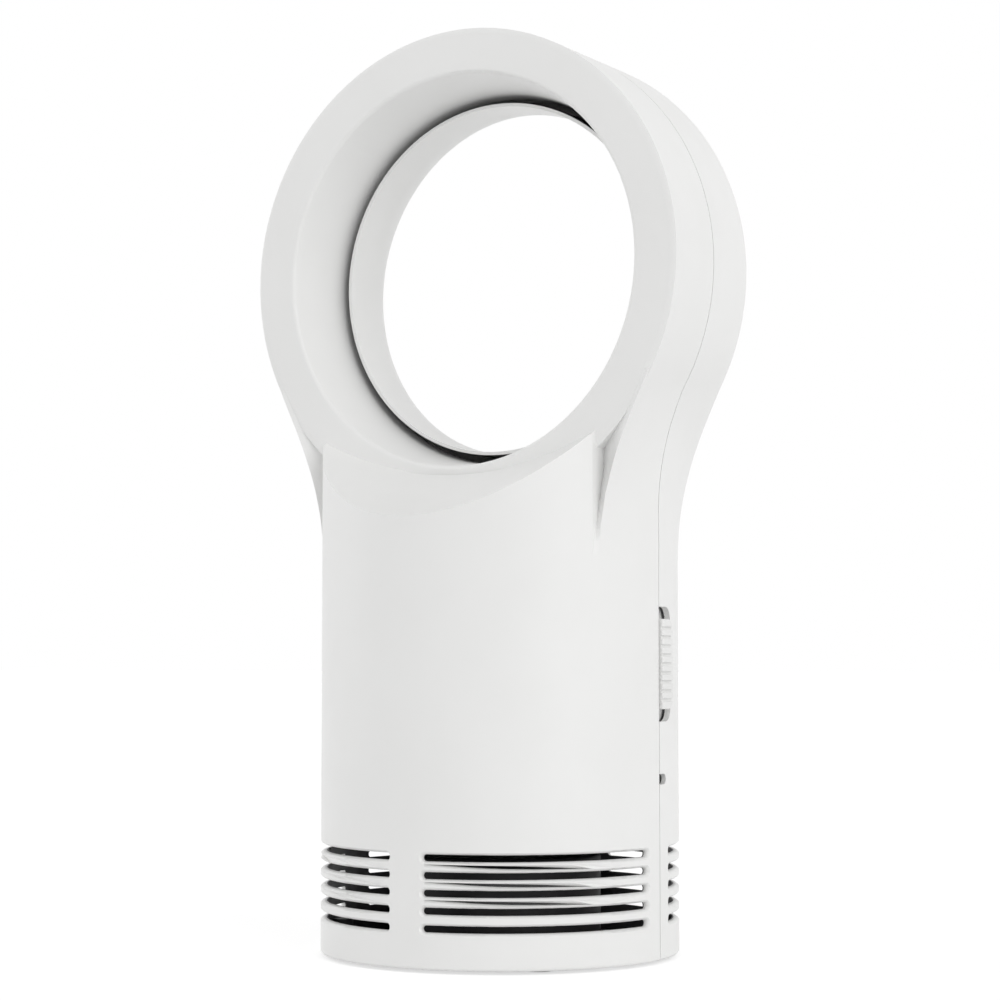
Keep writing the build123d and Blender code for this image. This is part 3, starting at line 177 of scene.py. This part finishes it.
def moulded(name, colour, second, rough, grain, height, metal=0.0, clear=0.0, blotch=28.0, stretch=(1, 1, 1)):
    """Material with a soft colour drift, uneven gloss and a fine surface grain."""
    material = bpy.data.materials.new(name)
    material.use_nodes = True
    tree = material.node_tree
    shader = tree.nodes["Principled BSDF"]
    shader.inputs["Metallic"].default_value = metal
    shader.inputs["Transmission Weight"].default_value = clear
    shader.inputs["IOR"].default_value = PLASTIC_IOR
    place = tree.nodes.new("ShaderNodeTexCoord").outputs["Object"]
    mapping = tree.nodes.new("ShaderNodeMapping")
    mapping.inputs["Scale"].default_value = stretch
    tree.links.new(place, mapping.inputs["Vector"])
    at = mapping.outputs["Vector"]

    skin = colour_drift(tree, at, blotch, colour, second)
    # Painted shade: the hidden inner faces of the air ways are coloured near black where shade falls
    if name in PAINTED_SHADE_ZONES:
        skin = with_painted_shade(tree, place, PAINTED_SHADE_ZONES[name], skin)
    tree.links.new(skin, shader.inputs["Base Color"])

    gloss = tree.nodes.new("ShaderNodeMapRange")
    for socket, value in zip(("From Min", "From Max", "To Min", "To Max"), (*GLOSS_BAND, *rough)):
        gloss.inputs[socket].default_value = value
    tree.links.new(noise(tree, at, blotch * GLOSS_FINER), gloss.inputs["Value"])
    tree.links.new(gloss.outputs["Result"], shader.inputs["Roughness"])

    bump = tree.nodes.new("ShaderNodeBump")
    bump.inputs["Strength"].default_value = height
    bump.inputs["Distance"].default_value = BUMP_DEPTH
    tree.links.new(noise(tree, at, grain, BUMP_DETAIL), bump.inputs["Height"])
    tree.links.new(bump.outputs["Normal"], shader.inputs["Normal"])
    return material


def smooth_group():
    """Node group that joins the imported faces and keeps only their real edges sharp."""
    group = bpy.data.node_groups.new("smooth_faces", "GeometryNodeTree")
    for way in ("INPUT", "OUTPUT"):
        group.interface.new_socket("Geometry", in_out=way, socket_type="NodeSocketGeometry")
    start = group.nodes.new("NodeGroupInput")
    end = group.nodes.new("NodeGroupOutput")
    merge = group.nodes.new("GeometryNodeMergeByDistance")
    merge.inputs["Distance"].default_value = MERGE
    faces = group.nodes.new("GeometryNodeSetShadeSmooth")
    edges = group.nodes.new("GeometryNodeSetShadeSmooth")
    edges.domain = "EDGE"
    edges.inputs["Shade Smooth"].default_value = False
    angle = group.nodes.new("GeometryNodeInputMeshEdgeAngle")
    sharp = group.nodes.new("FunctionNodeCompare")
    sharp.operation = "GREATER_THAN"
    sharp.inputs[1].default_value = SHARP
    link = group.links.new
    link(start.outputs[0], merge.inputs["Geometry"])
    link(merge.outputs["Geometry"], faces.inputs[0])
    link(faces.outputs[0], edges.inputs[0])
    link(angle.outputs["Unsigned Angle"], sharp.inputs[0])
    link(sharp.outputs["Result"], edges.inputs["Selection"])
    link(edges.outputs[0], end.inputs[0])
    return group


def dress_nodes():
    """Give every CAD node the finish of its material slot, and soft shading over its smooth faces."""
    finishes = {name: moulded(name, **options) for name, options in FINISHES.items()}
    group = smooth_group()
    for part in frame["record"]["subparts"]:
        node = frame["nodes"][part["node"]]
        material = finishes[part["material_slot"]]
        if not node.material_slots:
            node.data.materials.append(material)
        for slot in node.material_slots:
            slot.material = material
        node.modifiers.new("smooth", "NODES").node_group = group
        node.modifiers.new("weighted", "WEIGHTED_NORMAL").keep_sharp = True


def seen_directly(tree):
    """1 for rays that show the background: straight from the camera, or by gloss or glass."""
    path = tree.nodes.new("ShaderNodeLightPath")
    total = path.outputs["Is Camera Ray"]
    for kind in ("Is Glossy Ray", "Is Transmission Ray"):
        total = combine(tree, "MAXIMUM", total, path.outputs[kind])
    return total


def mix_for_camera(tree, lit, shown, output):
    """Surface that lights with one shader and shows as the other."""
    mix = tree.nodes.new("ShaderNodeMixShader")
    tree.links.new(seen_directly(tree), mix.inputs[0])
    tree.links.new(lit, mix.inputs[1])
    tree.links.new(shown, mix.inputs[2])
    tree.links.new(mix.outputs[0], output.inputs["Surface"])


def make_world():
    """Soft surroundings, dimmer above than around, that show as white."""
    world = bpy.data.worlds.new("studio")
    bpy.context.scene.world = world
    world.use_nodes = True
    tree = world.node_tree
    ambient = tree.nodes["Background"]
    ambient.inputs["Color"].default_value = (1, 1, 1, 1)
    place = tree.nodes.new("ShaderNodeTexCoord")
    split = tree.nodes.new("ShaderNodeSeparateXYZ")
    level = tree.nodes.new("ShaderNodeMapRange")
    level.inputs["To Min"].default_value = LEVEL_AROUND
    level.inputs["To Max"].default_value = LEVEL_ABOVE
    tree.links.new(place.outputs["Generated"], split.inputs["Vector"])
    tree.links.new(split.outputs["Z"], level.inputs["Value"])
    tree.links.new(level.outputs["Result"], ambient.inputs["Strength"])
    white = tree.nodes.new("ShaderNodeBackground")
    white.inputs["Color"].default_value = (1, 1, 1, 1)
    white.inputs["Strength"].default_value = 1.0
    mix_for_camera(tree, ambient.outputs[0], white.outputs[0], tree.nodes["World Output"])


def floor_material():
    """White for the camera, but for the object's shadow."""
    material = bpy.data.materials.new("floor")
    material.use_nodes = True
    tree = material.node_tree
    tree.nodes.remove(tree.nodes["Principled BSDF"])
    bounce = tree.nodes.new("ShaderNodeBsdfDiffuse")
    bounce.inputs["Color"].default_value = (FLOOR_BOUNCE, FLOOR_BOUNCE, FLOOR_BOUNCE, 1)
    seen = tree.nodes.new("ShaderNodeBsdfDiffuse")
    seen.inputs["Color"].default_value = (FLOOR_SEEN, FLOOR_SEEN, FLOOR_SEEN, 1)
    glow = tree.nodes.new("ShaderNodeEmission")
    glow.inputs["Strength"].default_value = FLOOR_GLOW
    both = tree.nodes.new("ShaderNodeAddShader")
    tree.links.new(seen.outputs[0], both.inputs[0])
    tree.links.new(glow.outputs[0], both.inputs[1])
    mix_for_camera(tree, bounce.outputs[0], both.outputs[0], tree.nodes["Material Output"])
    return material


def make_floor():
    half = FLOOR_HALF
    mesh = bpy.data.meshes.new("floor")
    mesh.from_pydata([(-half, -half, 0), (half, -half, 0), (half, half, 0), (-half, half, 0)], [], [(0, 1, 2, 3)])
    mesh.materials.append(floor_material())
    floor = bpy.data.objects.new("floor", mesh)
    bpy.context.scene.collection.objects.link(floor)


def make_light():
    """Two wide soft lamps: one from the object's right, and a weaker one from its left."""
    for name, (share, source) in LAMPS.items():
        data = bpy.data.lights.new(name, "SUN")
        data.energy = share * pi
        data.angle = radians(LAMP_ANGLE)
        lamp = bpy.data.objects.new(name, data)
        lamp.rotation_euler = Vector(source).to_track_quat("Z", "Y").to_euler()
        bpy.context.scene.collection.objects.link(lamp)


def make_camera():
    data = bpy.data.cameras.new("camera")
    data.sensor_width = CAMERA_SENSOR
    data.lens = CAMERA_LENS
    data.clip_start = CAMERA_NEAR
    camera = bpy.data.objects.new("camera", data)
    camera.location = CAMERA_AT
    camera.rotation_euler = (radians(CAMERA_TILT), 0, radians(CAMERA_TURN))
    bpy.context.scene.collection.objects.link(camera)
    bpy.context.scene.camera = camera


bpy.context.scene.view_settings.view_transform = "Standard"
make_camera()
make_world()
make_light()
make_floor()
dress_nodes()

bpy.context.view_layer.update()
